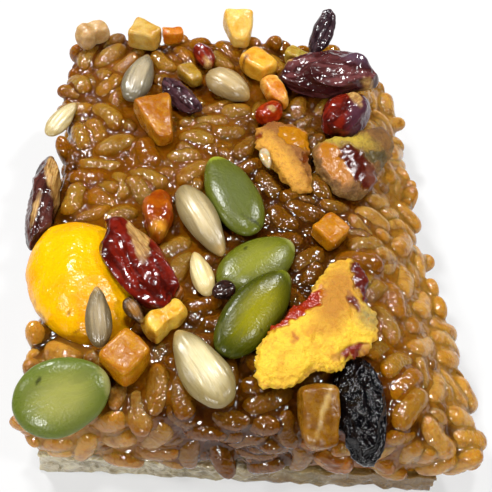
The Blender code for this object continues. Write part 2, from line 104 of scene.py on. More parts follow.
class Finish:
    """A material: its shader, and one method that adds any other node."""

    def __init__(self, name, scatter=None, **constants):
        """Light scatters in by a share, to a depth in millimetres and by each colour's part."""
        if scatter:
            share, deep, parts = scatter
            constants.update(Subsurface_Weight=share, Subsurface_Scale=deep * MM,
                             Subsurface_Radius=parts)
        self.material = bpy.data.materials.new(name)
        self.material.use_nodes = True
        self.tree = self.material.node_tree
        self.shader = self.tree.nodes["Principled BSDF"]
        for socket, value in constants.items():
            self.shader.inputs[socket.replace("_", " ")].default_value = value

    def node(self, kind, settings, sockets, output=0):
        """Any node: its type, what is set first, and the values or links of its sockets."""
        node = self.tree.nodes.new("ShaderNode" + kind)
        for name, value in settings.items():
            setattr(node, name, value)
        for name, value in sockets.items():
            self.plug(node.inputs[name], value)
        return Wire(self, node.outputs[output])

    def plug(self, socket, value):
        if isinstance(value, Wire):
            self.tree.links.new(value.socket, socket)
        else:
            socket.default_value = value

    def feed(self, **sockets):
        """Give values or links to the shader's own sockets."""
        for name, value in sockets.items():
            self.plug(self.shader.inputs[name.replace("_", " ")], value)

    def place(self):
        """Where a point is, in millimetres."""
        spot = self.node("NewGeometry", {}, {}, "Position")
        return self.node("VectorMath", {"operation": "MULTIPLY"}, {0: spot, 1: (1 / MM,) * 3})

    def local(self, stretch=(1, 1, 1)):
        """A point's stored place in its own piece, stretched."""
        spot = self.node("Attribute", {"attribute_name": "spot"}, {}, "Vector")
        return self.node("VectorMath", {"operation": "MULTIPLY"}, {0: spot, 1: stretch})

    def first(self, spot):
        """The first number of a place."""
        return self.node("SeparateXYZ", {}, {0: spot}, "X")

    def rim(self):
        """How far a point lies from its piece's middle, seen from above: 1 at the rim."""
        flat = self.local((1, 1, 0))
        return self.node("VectorMath", {"operation": "LENGTH"}, {0: flat}, "Value")

    def stored(self, name):
        """A number that is stored at every point of the mesh."""
        return self.node("Attribute", {"attribute_name": name}, {}, "Fac")

    def grain(self, spot, scale, detail=2.0, rough=0.5, warp=0.0):
        """Noise from 0 to 1 at a number of lumps in each millimetre."""
        sockets = {"Vector": spot, "Scale": scale, "Detail": detail, "Roughness": rough,
                   "Distortion": warp}
        return self.node("TexNoise", {}, sockets)

    def step(self, value, low, high, start=0.0, end=1.0):
        """A smooth rise from start to end while value goes from low to high."""
        sockets = {"Value": value, "From Min": low, "From Max": high,
                   "To Min": start, "To Max": end}
        return self.node("MapRange", {"interpolation_type": "SMOOTHSTEP"}, sockets)

    def mix(self, share, first, second):
        """Colours mixed by share; plain triples become colours."""
        first, second = ((*color, 1.0) if isinstance(color, tuple) else color
                         for color in (first, second))
        return self.node("Mix", {"data_type": "RGBA"}, {0: share, 6: first, 7: second}, 2)

    def bump(self, height, depth):
        """A bump of the given depth in millimetres."""
        return self.node("Bump", {}, {"Height": height, "Distance": depth * MM})


def show(name, data):
    """Put an object with the given data in the scene."""
    thing = bpy.data.objects.new(name, data)
    bpy.context.scene.collection.objects.link(thing)
    return thing


def add_piece(name, mesh, look, slot, *nodes):
    """Put a finished mesh in the scene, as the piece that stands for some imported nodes."""
    piece = show(name, mesh)
    mesh.materials.clear()
    mesh.materials.append(look.material)
    mesh.shade_smooth()
    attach(piece, "root")
    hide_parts(*nodes)


def block_grid(across, deep, high):
    """The skin of a cube from -1 to 1, in a grid of across x deep x high cells."""
    bm = bmesh.new()
    cells = (across, deep, high)
    for axis in range(3):
        u, v = (axis + 1) % 3, (axis + 2) % 3
        for side in (-1, 1):
            made = bmesh.ops.create_grid(bm, x_segments=cells[u], y_segments=cells[v], size=1)
            for vert in made["verts"]:
                spot = Vector((0, 0, 0))
                spot[u], spot[v], spot[axis] = vert.co.x, vert.co.y * side, side
                vert.co = spot
    bmesh.ops.remove_doubles(bm, verts=bm.verts, dist=1e-5)
    return bm


def to_mesh(name, bm, unit=MM):
    """A mesh in metres from a bmesh in the given unit."""
    mesh = bpy.data.meshes.new(name)
    bmesh.ops.scale(bm, vec=(unit, unit, unit), verts=bm.verts)
    bm.to_mesh(mesh)
    bm.free()
    return mesh


def base_right(y):
    """Right edge of the bottom layer."""
    forward = (HALF_DEEP - y) / (2 * HALF_DEEP)
    return BASE_RIGHT_BACK + (BASE_RIGHT - BASE_RIGHT_BACK) * forward ** 2


def pressed_sheet():
    """The layer: upright folds and fine creases on its sides, and a slightly ragged lower edge."""
    bm = block_grid(*SHEET_CELLS)
    for vert in bm.verts:
        u, v, w = vert.co
        y = v * HALF_DEEP
        left = BASE_LEFT + LEFT_WAVE * (1 + math.sin(y / 4.2))
        x = left + (base_right(y) - left) * (u + 1) / 2
        z = (w + 1) / 2 * BASE_HIGH
        side = max(abs(u), abs(v)) ** 24
        fold = noise.noise(Vector((x / 2.6, y / 2.6, z / 7)))
        crease = noise.noise(Vector((x / 1.1, y / 1.1, z / 0.7 + 9)))
        inset = side * (SIDE_INSET + FOLD_DEEP * fold + CREASE_DEEP * crease)
        torn = max(0, noise.noise(Vector((x / 4, y / 4, 3))) - 0.05)
        lift = side * (1 - z / BASE_HIGH) * torn * RAGGED
        vert.co = (x - inset * u * abs(u) ** 8, y - inset * v * abs(v) ** 8, z + lift)
    return to_mesh("bottom_layer", bm)


def film_look():
    """Clear grey-olive, whitish in places and browner to the right, with fine wet creases."""
    look = Finish("pressed_rice", (0.7, 2.0, (1.0, 0.8, 0.45)), IOR=1.45)
    spot = look.place()
    across = look.first(spot)
    clouds = look.grain(spot, 0.30, 3, 0.6, 0.6)
    color = look.mix(look.step(clouds, 0.36, 0.64), OLIVE, CLEAR_GREY)
    brown = look.step(look.grain(spot, 0.12, 3) + across * 0.010, 0.42, 0.70, 0, 0.9)
    color = look.mix(brown, color, BROWN_FILM)
    # Paler along the fine creases: the whitish creases are partly a painted highlight.
    creases = look.grain(spot, 0.5, 3, 0.6, 1.2)
    pale = look.step(creases - across * 0.008, 0.46, 0.78, 0, 0.9)
    color = look.mix(pale, color, WHITE_CREASE_HIGHLIGHT)
    look.feed(Base_Color=color, Roughness=look.step(creases, 0.3, 0.7, 0.06, 0.2))
    look.feed(Normal=look.bump(creases, 0.6))
    return look


add_piece("bottom_layer", pressed_sheet(), film_look(), "base", "base_layer")


# ---------------------------------------------------------------- rice grains
# Whole cooked grains, plump and sticky, brown from sugar and soy. Each lies against its
# neighbours with a little overlap, as soft grains press into each other under their glaze.
RICE_TOP = 18.0
RICE_LEFT = -28.9
LEFT_LEAN = 0.046        # how far the left side runs out for each millimetre towards the back
END_INSET = 1.1          # how far the rice's foot lies inside the ends of the bottom layer
END_LEAN = 0.8
SIDE_SWELL = 0.6         # how far the sides go out for each millimetre that the top is lifted
EDGE_DROP = 1.1          # how far the top falls off at its edges
LIP_HIGH = 9.2           # the right side slopes down to a low lip, which spreads to the front
LIP_BACK = 24.6
LIP_SPREAD = 9.6
UNDERCUT = 4.2           # how far the foot lies inside the lip
SLOPE_RUN = 15.0
SLOPE_BEND = 1.7
CORNER = 7.0
CORE_CELLS = (30, 34, 8)


def clamp(value):
    """A number held between 0 and 1."""
    return min(max(value, 0), 1)


def lip(y):
    """Right edge of the rice, with a rounded front corner."""
    edge = LIP_BACK + LIP_SPREAD * ((HALF_DEEP - y) / (2 * HALF_DEEP)) ** 2
    past = min(max(CORNER - HALF_DEEP - y, 0), CORNER)
    return edge - CORNER + math.sqrt(CORNER ** 2 - past ** 2)


def slope_drop(x, edge):
    """How far the rice's top has fallen at x, on its slope down to the lip at edge."""
    return (RICE_TOP - LIP_HIGH) * clamp((x - edge + SLOPE_RUN) / SLOPE_RUN) ** SLOPE_BEND


def core_point(u, v, w, rise):
    """A point of the rice under its outer grains, for u, v and w from -1 to 1; rise lifts its
    top and lets its sides out."""
    up = (w + 1) / 2
    y = v * (HALF_DEEP - END_INSET - END_LEAN * up + SIDE_SWELL * rise)
    left = RICE_LEFT - LEFT_LEAN * y + 0.5 * math.sin(y / 5.5) - SIDE_SWELL * rise
    edge = lip(y) + SIDE_SWELL * rise
    high_x = left + (edge - left) * (u + 1) / 2
    low_x = left + (edge - UNDERCUT - left) * (u + 1) / 2
    top = RICE_TOP - slope_drop(high_x, edge) - EDGE_DROP * max(-v, 0.4 * v, -u) ** 8
    top += rise * (1 - max(abs(v), abs(u)) ** 6)
    floor = BASE_HIGH + 0.3
    return Vector((low_x + (high_x - low_x) * math.sqrt(up), y, floor + (top - floor) * up))


def core(rise):
    """The skin of the rice under its outer grains."""
    bm = block_grid(*CORE_CELLS)
    for vert in bm.verts:
        vert.co = core_point(*vert.co, rise)
    return bm


def toppings_tree():
    """Every packed topping in one search tree."""
    points, faces = [], []
    for name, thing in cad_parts.items():
        if name in ("base_layer", "rice_block"):
            continue
        start = len(points)
        points.extend(vert.co / MM for vert in thing.data.vertices)
        faces.extend([start + i for i in face.vertices] for face in thing.data.polygons)
    return BVHTree.FromPolygons(points, faces)


def is_inside(tree, spot):
    """Whether a ray from a point leaves closed pieces an odd number of times."""
    ray = Vector((0.13, 0.07, 1)).normalized()
    inside = False
    hit = tree.ray_cast(spot, ray)[0]
    while hit:
        inside = not inside
        hit = tree.ray_cast(hit + ray * 1e-4, ray)[0]
    return inside


GRAIN_LONG = 7.2
GRAIN_WIDE = 3.7
LONG_RANGE = (0.78, 1.12)
WIDE_RANGE = (0.88, 1.08)
BALLS = np.array((-0.78, -0.42, 0.0, 0.42, 0.78))   # of half a grain's length
BALL_WIDE = np.sqrt(1 - 0.75 * BALLS ** 2)
MOST_GRAINS = 1150
HEAP_SEED = 3
STAND = 0.9              # how much the grains on upright sides stand on end
TOPPING_GAP = 0.82       # of a grain's half width: it may press this close to a topping
LAYERS = (               # tries, depths from and to, press, size and tilt
    (9000, 0.1, 0.6, 0.68, 1.0, 0.2),
    (12000, -0.3, 0.5, 0.54, 0.92, 0.4),
    (9000, -0.8, 0.3, 0.46, 0.85, 0.6),
)


class Heap:
    """Grains laid one by one: each row is a centre, an axis, an outward side, sizes and a depth."""

    def __init__(self):
        self.draw = random.Random(HEAP_SEED)
        self.tree = toppings_tree()
        self.balls = np.zeros((MOST_GRAINS, len(BALLS), 3))
        self.wide = np.zeros((MOST_GRAINS, len(BALLS)))
        self.rows = []
        bm = core(0)
        bmesh.ops.triangulate(bm, faces=bm.faces)
        bm.normal_update()
        self.faces = [[vert.co.copy() for vert in face.verts] + [face.normal.copy()]
                      for face in bm.faces if face.normal.z > -0.8]
        self.areas = [(b - a).cross(c - a).length for a, b, c, _ in self.faces]
        bm.free()

    def lay(self, tries, low, high, press, size, tilt):
        """Try grains at a depth from low to high: press under 1 lets neighbours overlap."""
        draw = self.draw
        for a, b, c, normal in draw.choices(self.faces, self.areas, k=tries):
            if len(self.rows) == MOST_GRAINS:
                return
            s, t = sorted((draw.random(), draw.random()))
            depth = draw.uniform(low, high)
            centre = a * s + b * (t - s) + c * (1 - t) + normal * depth
            flat = normal.orthogonal().normalized()
            flat.rotate(Matrix.Rotation(draw.uniform(0, math.tau), 3, normal))
            if abs(normal.z) < 0.5:
                flat = (flat + Vector((0, 0, draw.choice((-STAND, STAND))))).normalized()
            axis = (flat + normal * draw.uniform(-tilt, tilt)).normalized()
            long = GRAIN_LONG * size * draw.uniform(*LONG_RANGE)
            wide = GRAIN_WIDE * size * draw.uniform(*WIDE_RANGE)
            balls = np.array(centre) + np.outer(BALLS * long / 2, axis)
            widths = BALL_WIDE * wide / 2
            if self.is_free(balls, widths, press):
                self.balls[len(self.rows)] = balls
                self.wide[len(self.rows)] = widths
                self.rows.append((centre, axis, normal, long, wide, depth))

    def is_free(self, balls, widths, press):
        """Whether a grain, as a row of balls, has room among the others and the toppings."""
        count = len(self.rows)
        away = ((self.balls[:count, 2] - balls[2]) ** 2).sum(1)
        near = np.flatnonzero(away < GRAIN_LONG ** 2 * 1.3)
        if len(near):
            gaps = np.linalg.norm(self.balls[near][:, :, None] - balls[None, None], axis=3)
            if (gaps < press * (self.wide[near][:, :, None] + widths)).any():
                return False
        for ball, wide in zip(balls, widths):
            spot = Vector(ball)
            if spot.z - wide < BASE_HIGH - 0.4:
                return False
            found = self.tree.find_nearest(spot, 8)
            if found[0] and found[3] < wide * TOPPING_GAP:
                return False
        return not is_inside(self.tree, Vector(balls[2]))


GRAIN_SEGMENTS = (14, 12)
SHAPE_SEED = 5
TAPER = 0.12
BLUNT = 0.26             # how much fuller the ends are than an egg's
WAVY = 0.04
BEND = 0.14
FLAT = 0.84


def unit_grain():
    """A sphere's points and faces, with its poles along X."""
    bm = bmesh.new()
    around, along = GRAIN_SEGMENTS
    bmesh.ops.create_uvsphere(bm, u_segments=around, v_segments=along, radius=1)
    bm.verts.ensure_lookup_table()
    points = np.array([(vert.co.z, vert.co.x, vert.co.y) for vert in bm.verts])
    faces = [[vert.index for vert in face.verts] for face in bm.faces]
    bm.free()
    return points, faces


def grain_points(unit, row, draw, size):
    """One grain in place: blunt ends, a slight bend, a taper and a wavy outline."""
    centre, axis, normal, long, wide, _ = row
    side = normal.cross(axis).normalized()
    turn = np.array((axis, side, axis.cross(side)))
    x, y, z = unit.T
    taper = 1 - draw.uniform(-TAPER, TAPER) * x
    plump = (1 + BLUNT * x ** 2) * taper * wide / 2 * size
    plump *= 1 + WAVY * np.sin(5 * x + draw.uniform(0, math.tau))
    bend = draw.uniform(-BEND, BEND) * long * (x ** 2 - 0.4)
    own = np.stack((x * long / 2 * size, y * plump + bend, z * plump * FLAT), axis=1)
    return own @ turn + np.array(centre)


DRY_INSIDE = 11          # the dry slope starts this far inside the lip
DRY_FADE = 9
DRY_CORNER = (-14, -26)
DRY_CORNER_FADE = 12
DARK_X = 5               # the rice is darker along a line from front to back
DARK_LEAN = 0.12
DARK_HALF = 13
DARK_FADE = 8
DARK_BACK = 28
DARK_BACK_FADE = 16
PATTERN_SHIFT = 3.7      # keeps the patterns of neighbouring grains apart


def paleness(spot):
    """How pale the rice is at a place: it dries on the right slope and at the front left corner."""
    slope = (spot.x - lip(spot.y) + DRY_INSIDE) / DRY_FADE
    corner_x, corner_y = DRY_CORNER
    corner = (corner_x - spot.x - 0.6 * (spot.y - corner_y)) / DRY_CORNER_FADE
    return clamp(max(slope, corner))


def darkened(spot):
    """How much darker the rice is at a place: most along a line right of the middle."""
    away = abs(spot.x - DARK_X - DARK_LEAN * spot.y) + 2.5 * noise.noise(spot / 7)
    return clamp((DARK_HALF - away) / DARK_FADE) * clamp((DARK_BACK - spot.y) / DARK_BACK_FADE)


def store(mesh, name, values):
    """Keep a number or a vector at every point of a mesh."""
    values = np.asarray(values, dtype=np.float32)
    kind, field = ("FLOAT", "value") if values.ndim == 1 else ("FLOAT_VECTOR", "vector")
    mesh.attributes.new(name, kind, "POINT").data.foreach_set(field, values.ravel())


def joined(name, heap, size=1.0):
    """All grains in one mesh, with each grain's tone, depth, paleness, darkening and own
    coordinates stored."""
    unit, unit_faces = unit_grain()
    draw = random.Random(SHAPE_SEED)
    points, faces = [], []
    for number, row in enumerate(heap.rows):
        points.append(grain_points(unit, row, draw, size) * MM)
        faces.extend([number * len(unit) + i for i in face] for face in unit_faces)
    mesh = bpy.data.meshes.new(name)
    mesh.from_pydata(np.concatenate(points), [], faces)
    count = len(heap.rows)
    own = np.tile(unit, (count, 1))
    own[:, 0] += np.repeat(np.arange(count) * PATTERN_SHIFT, len(unit))
    store(mesh, "spot", own)
    store(mesh, "crown", np.tile(unit[:, 2], count))
    of_grains = {"tone": [draw.random() for row in heap.rows],
                 "deep": [row[5] for row in heap.rows],
                 "pale": [paleness(row[0]) for row in heap.rows],
                 "darkened": [darkened(row[0]) for row in heap.rows]}
    for number_name, numbers in of_grains.items():
        store(mesh, number_name, np.repeat(numbers, len(unit)))
    return mesh


AMBER = (0.154, 0.045, 0.0002)
GOLDEN = (0.243, 0.087, 0.0006)
GREY_LIT_CROWN = (0.23, 0.124, 0.012)
PALE_LIT_CROWN = (0.45, 0.280, 0.090)
DRY_RICE = (0.38, 0.185, 0.019)
MOTTLE = (0.173, 0.056, 0.00064)
DARKER_RICE = (0.085, 0.026, 0.0003)
BURIED_RICE_SHADE = (0.064, 0.015, 0.00019)


def rice_look():
    """Amber grains with a greyer, clearer crown that is partly painted light through the grain,
    under syrup that has dried in fine wrinkles across them."""
    look = Finish("glazed_rice", (1.0, 1.8, (1.0, 0.6, 0.15)), IOR=1.45)
    spot = look.place()
    pale = look.stored("pale")
    areas = look.grain(spot, 0.055, 3, 0.6)
    color = look.mix(look.step(areas, 0.38, 0.62), AMBER, GOLDEN)
    # The outward crown of each grain is lighter and greyer: partly its own colour, partly painted
    # light through the clear grain.
    crown = look.step(look.stored("crown"), 0.0, 0.9) * look.step(look.stored("tone"), 0.05, 0.6)
    color = look.mix(crown * 0.8, color, look.mix(pale, GREY_LIT_CROWN, PALE_LIT_CROWN))
    color = look.mix(pale * 0.8, color, DRY_RICE)
    mottle = look.grain(spot, 0.6, 3, 0.55)
    color = look.mix(look.step(mottle, 0.45, 0.75, 0, 0.7), color, MOTTLE)
    # Darker along a band right of the middle.
    color = look.mix(look.stored("darkened") * 0.85, color, DARKER_RICE)
    # Grains sunk deeper among the others are darker: partly painted shade, partly the syrup over
    # them.
    color = look.mix(look.step(look.stored("deep"), -1.1, 0.3, 0.8, 0), color, BURIED_RICE_SHADE)
    ribs = look.grain(look.local((3.8, 1.2, 1.2)), 1.6, 1, 0.5, 0.5)
    fine = look.grain(spot, 1.5, 1)
    look.feed(Base_Color=color, Roughness=look.step(fine, 0.3, 0.7, 0.04, 0.10))
    look.feed(Normal=look.bump(ribs + fine, 0.15))
    return look


heap = Heap()
for layer in LAYERS:
    heap.lay(*layer)
add_piece("rice_grains", joined("rice_grains", heap), rice_look(), "rice", "rice_block")


# ---------------------------------------------------------------- syrup between the grains
# Brown sugar syrup, darkened with soy and jujube, cooked into the rice. It fills the block
# between its grains, draws up their sides, and glues every topping where it lies.
SYRUP_CELL = 0.5
SYRUP_RISE = 0.5         # above the top of the rice under its outer grains
SYRUP_GRAINS = 0.97      # size of the grains inside the syrup, of the whole grains'
SYRUP_SMOOTH = (0.5, 5)  # share of each smoothing, and how many
GRAINS_ABOVE = 1.6       # how far the outer grains stand out of the core: up, left and right
GRAINS_LEFT = -29.5
GRAINS_RIGHT = 1.2
HOLLOW_DEEP = 2.4
THIN_SYRUP = (0.110, 0.027, 0.0003)
GOLDEN_SYRUP = (0.180, 0.056, 0.0010)
DRY_SYRUP = (0.294, 0.131, 0.013)
DEEPEST_SYRUP_SHADE = (0.026, 0.0045, 0.00013)
DEEP_SYRUP_SHADE = (0.077, 0.019, 0.00032)
DARKER_SYRUP = (0.038, 0.009, 0.00013)


def vectors(rows, field):
    """One vector from each row of a mesh's data."""
    flat = np.zeros(len(rows) * 3, dtype=np.float32)
    rows.foreach_get(field, flat)
    return flat.reshape(-1, 3).astype(float)


def points_of(mesh):
    """A mesh's points in millimetres."""
    return vectors(mesh.vertices, "co") / MM


def finished(body):
    """The mesh of an object after its modifiers; the object itself goes."""
    after = body.evaluated_get(bpy.context.evaluated_depsgraph_get())
    mesh = bpy.data.meshes.new_from_object(after)
    bpy.data.objects.remove(body)
    return mesh


def syrup():
    """The core and slightly thinner grains, run together and smoothed."""
    bm = core(SYRUP_RISE)
    grains = joined("syrup_grains", heap, SYRUP_GRAINS)
    grains.transform(Matrix.Scale(1 / MM, 4))
    bm.from_mesh(grains)
    body = show("syrup_body", to_mesh("syrup_body", bm))
    cells = body.modifiers.new("cells", "REMESH")
    cells.mode = "VOXEL"
    cells.voxel_size = SYRUP_CELL * MM
    soft = body.modifiers.new("soft", "SMOOTH")
    soft.factor, soft.iterations = SYRUP_SMOOTH
    mesh = finished(body)
    mesh.name = "syrup"
    return mesh


def hollows(mesh):
    """How far each point of the syrup lies under the grains' tops: 0 at them, 1 in the deepest."""
    depths = []
    for x, y, z in points_of(mesh):
        top = RICE_TOP + GRAINS_ABOVE - slope_drop(x, lip(y))
        side = min(HALF_DEEP - abs(y), x - GRAINS_LEFT, lip(y) + GRAINS_RIGHT - x)
        depths.append(min(top - z, side))
    return np.clip(np.array(depths) / HOLLOW_DEEP, 0, 1)


def syrup_look():
    """Golden brown where it is thin over the grains, dark red-brown in its hollows, partly as
    painted shade, very glossy.
    """
    look = Finish("syrup", (0.8, 2.2, (1.0, 0.45, 0.08)), IOR=1.42)
    spot = look.place()
    patches = look.grain(spot, 0.09, 3, 0.6)
    thin = look.mix(look.step(patches, 0.38, 0.62), THIN_SYRUP, GOLDEN_SYRUP)
    thin = look.mix(look.stored("pale") * 0.8, thin, DRY_SYRUP)
    pools = look.grain(spot, 0.3, 3)
    deep = look.mix(look.step(pools, 0.4, 0.6), DEEPEST_SYRUP_SHADE, DEEP_SYRUP_SHADE)
    # Darker in the hollows between the grains: partly painted shade, partly deeper syrup.
    color = look.mix(look.step(look.stored("deep"), 0.35, 0.85, 0, 0.9), thin, deep)
    # Darker along a band right of the middle.
    color = look.mix(look.stored("darkened") * 0.9, color, DARKER_SYRUP)
    fine = look.grain(spot, 0.9, 1)
    look.feed(Base_Color=color, Roughness=look.step(fine, 0.3, 0.7, 0.04, 0.08))
    look.feed(Normal=look.bump(fine, 0.3))
    return look


mesh = syrup()
store(mesh, "deep", hollows(mesh))
for name, rule in (("pale", paleness), ("darkened", darkened)):
    store(mesh, name, [rule(Vector(point)) for point in points_of(mesh)])
add_piece("syrup", mesh, syrup_look(), "rice")


# ---------------------------------------------------------------- chestnut
# A peeled, boiled chestnut, waxy and yellow, pressed deep into the left of the block. Paring
# its inner skin has left shallow dimples, a pit and a few brown specks.
CHESTNUT_YAW = -62
CHESTNUT_PIT = (4.4, 6.3, 4.4, 2.6, 60)
CHESTNUT_SPECKS = ((-4.6, -7.4, 0.9, 0.5, 20), (-2.6, -8.6, 0.6, 0.5, 0),
                   (-6.0, -4.4, 0.5, 0.4, 60), (0.6, -9.0, 0.7, 0.4, 30),
                   (-0.6, -7.0, 0.4, 0.4, 0))
YOLK = (0.66, 0.345, 0.0004)
ORANGE = (0.61, 0.25, 0.0004)
PIT_COLOR = (0.397, 0.109, 0.0026)
SPECK_COLOR = (0.192, 0.064, 0.0026)
SHARP_TURN = 0.6         # radians between two faces that a kept crease needs


def spots_of(mesh):
    """A piece's stored own places."""
    return vectors(mesh.attributes["spot"].data, "vector")


def normals_of(mesh):
    """The outward direction at each point."""
    return vectors(mesh.vertex_normals, "vector")


def move(mesh, points):
    """Put a mesh's points at these places, in millimetres."""
    mesh.vertices.foreach_set("co", (points * MM).astype(np.float32).ravel())
    mesh.update()


def own_axes(points, yaw):
    """Length, width and thickness of a cloud of points; the length points towards yaw."""
    _, directions = np.linalg.eigh(np.cov(points.T))
    thick, middling, long = directions.T
    if abs(thick[2]) < 0.6 and abs(middling[2]) > abs(thick[2]):
        thick = middling
    towards = (math.cos(math.radians(yaw)), math.sin(math.radians(yaw)), 0)
    long = long * (1 if long @ towards > 0 else -1)
    thick = thick - long * (thick @ long)
    thick = thick / np.linalg.norm(thick) * (1 if thick[2] > 0 else -1)
    return np.array((long, np.cross(thick, long), thick))


def skin_over(name, yaw=0.0, levels=3, crease=0.0):
    """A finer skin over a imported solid, and each point's place in the piece's own axes: length
    towards yaw, width and thickness. The same place, from -1 to 1, is stored in the mesh."""
    bm = bmesh.new()
    bm.from_mesh(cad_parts[name].data)
    bmesh.ops.remove_doubles(bm, verts=bm.verts, dist=1e-6)
    bmesh.ops.join_triangles(bm, faces=bm.faces, angle_face_threshold=1.0,
                             angle_shape_threshold=1.2)
    if crease:
        layer = bm.edges.layers.float.new("crease_edge")
        for edge in bm.edges:
            if len(edge.link_faces) == 2 and edge.calc_face_angle() > SHARP_TURN:
                edge[layer] = crease
    rough = show(name, to_mesh(name, bm, 1))
    finer = rough.modifiers.new("finer", "SUBSURF")
    finer.levels = finer.render_levels = levels
    corners = points_of(rough.data)
    mesh = finished(rough)
    points = points_of(mesh)
    middle = (corners.max(0) + corners.min(0)) / 2
    axes = own_axes(corners - middle, yaw)
    before = (corners - middle) @ axes.T
    after = (points - middle) @ axes.T
    after *= np.ptp(before, axis=0) / np.ptp(after, axis=0)
    move(mesh, after @ axes + middle)
    own = after - (after.max(0) + after.min(0)) / 2
    store(mesh, "spot", own / (np.ptp(after, axis=0) / 2))
    return mesh, own


def lumps(points, size, shift=0.0):
    """Smooth noise at points, from -1 to 1, with lumps of the given size in millimetres."""
    return np.array([noise.noise(Vector(point) / size + Vector((shift, 0, 0))) for point in points])


def swell(mesh, height):
    """Push each point out along its normal by height millimetres."""
    move(mesh, points_of(mesh) + normals_of(mesh) * np.asarray(height)[:, None])


def folds(points, size):
    """Sharp creases between rounded swells, from about -1 to 1."""
    return 1 - 3.2 * np.abs(lumps(points, size))


def ovals(mesh, node, *rows, fuzz=0.35, soft=0.2):
    """How far inside ragged ovals each point lies, from 0 to 1. A row is x and y from the middle
    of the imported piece, length and width, and the direction of the length in degrees."""
    low, high = (np.array(corner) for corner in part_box(node))
    middle = (low + high) / 2 / MM
    spots = points_of(mesh) - middle
    warp = np.stack((lumps(spots, 0.9, 5), lumps(spots, 0.9, 9)), axis=1) * fuzz
    inside = np.full(len(spots), -9.0)
    for x, y, long, wide, angle in rows:
        turn = math.radians(angle)
        away = spots[:, :2] + warp - (x, y)
        along = away @ (math.cos(turn), math.sin(turn)) / (long / 2)
        across = away @ (-math.sin(turn), math.cos(turn)) / (wide / 2)
        inside = np.maximum(inside, (1 - np.hypot(along, across)) * min(long, wide) / 2)
    return np.clip(0.5 + inside / soft / 2, 0, 1)


def chestnut_look():
    """Yolk yellow, more orange in patches and in its pit, with a few brown specks."""
    look = Finish("chestnut", (0.35, 2.0, (1.0, 0.6, 0.05)), IOR=1.34)
    spot = look.place()
    patches = look.grain(spot, 0.13, 4, 0.6)
    color = look.mix(look.step(patches, 0.38, 0.66), YOLK, ORANGE)
    color = look.mix(look.stored("pit"), color, PIT_COLOR)
    color = look.mix(look.stored("specks"), color, SPECK_COLOR)
    look.feed(Base_Color=color, Roughness=look.step(patches, 0.3, 0.7, 0.16, 0.28))
    look.feed(Normal=look.bump(look.grain(spot, 1.2, 2), 0.16))
    return look


mesh, own = skin_over("chestnut", CHESTNUT_YAW)
store(mesh, "pit", ovals(mesh, "chestnut", CHESTNUT_PIT, soft=0.5) * 0.9)
store(mesh, "specks", ovals(mesh, "chestnut", *CHESTNUT_SPECKS))
swell(mesh, 0.18 * lumps(own, 2.6) + 0.05 * lumps(own, 0.9))
add_piece("chestnut", mesh, chestnut_look(), "chestnut", "chestnut")


# ---------------------------------------------------------------- prune
# Half a stoned prune, near black and sticky, folded over the front edge. Its skin has dried in
# fine wrinkles that glint all over.
PRUNE_YAW = -82
PRUNE_FOLD = 1.7         # size of its folds, then their depth
PRUNE_FOLD_DEEP = 0.35
PRUNE_BLACK = (0.00077, 0.00064, 0.001)
PRUNE_BROWN = (0.0051, 0.0026, 0.0019)


def prune_look():
    """Black, browner on the ridges of its wrinkles, and sticky."""
    look = Finish("prune", IOR=1.36)
    wrinkles = look.grain(look.place(), 1.1, 2, 0.5, 1.0)
    color = look.mix(look.step(wrinkles, 0.45, 0.75), PRUNE_BLACK, PRUNE_BROWN)
    look.feed(Base_Color=color, Roughness=look.step(wrinkles, 0.35, 0.65, 0.05, 0.10))
    look.feed(Normal=look.bump(wrinkles, 0.36))
    return look


mesh, own = skin_over("prune", PRUNE_YAW)
wrinkles = PRUNE_FOLD_DEEP * folds(own * (0.5, 1, 1), PRUNE_FOLD) - 0.2
swell(mesh, wrinkles + 0.12 * lumps(own, 0.6))
add_piece("prune", mesh, prune_look(), "prune", "prune")


# ---------------------------------------------------------------- pumpkin seeds
# Shelled pumpkin seeds, flat and smooth: a thin satin green skin over a pale kernel, darker
# round the edge, partly as painted shade, and drawn together into a small pale point.
PUMPKIN_SEEDS = {       # direction of the point, then the face's, the edge's and the point's colour
    "pumpkin_seed_1": (114, (0.080, 0.093, 0.022), (0.074, 0.084, 0.006), (0.26, 0.30, 0.020)),
    "pumpkin_seed_2": (40, (0.165, 0.168, 0.016), (0.080, 0.088, 0.003), (0.24, 0.25, 0.07)),
    "pumpkin_seed_3": (56, (0.190, 0.172, 0.001), (0.030, 0.036, 0.0004), (0.10, 0.115, 0.003)),
    "pumpkin_seed_4": (24, (0.237, 0.237, 0.054), (0.083, 0.109, 0.012), (0.294, 0.294, 0.096)),
}
SEED_MARKS = {          # dark cracks and dots
    "pumpkin_seed_1": (3.0, -5.4, 3.2, 0.35, -25),
    "pumpkin_seed_2": (-1.6, 1.9, 0.7, 0.5, 60),
    "pumpkin_seed_3": (1.2, -3.0, 0.4, 0.3, 0),
    "pumpkin_seed_4": (-2.6, 0.8, 0.9, 0.6, 80),
}
CRACK = (0.013, 0.014, 0.0026)
SEED_WAVE = 0.12         # depth and size of the slow waves of a seed's skin
SEED_WAVE_SIZE = 2.4


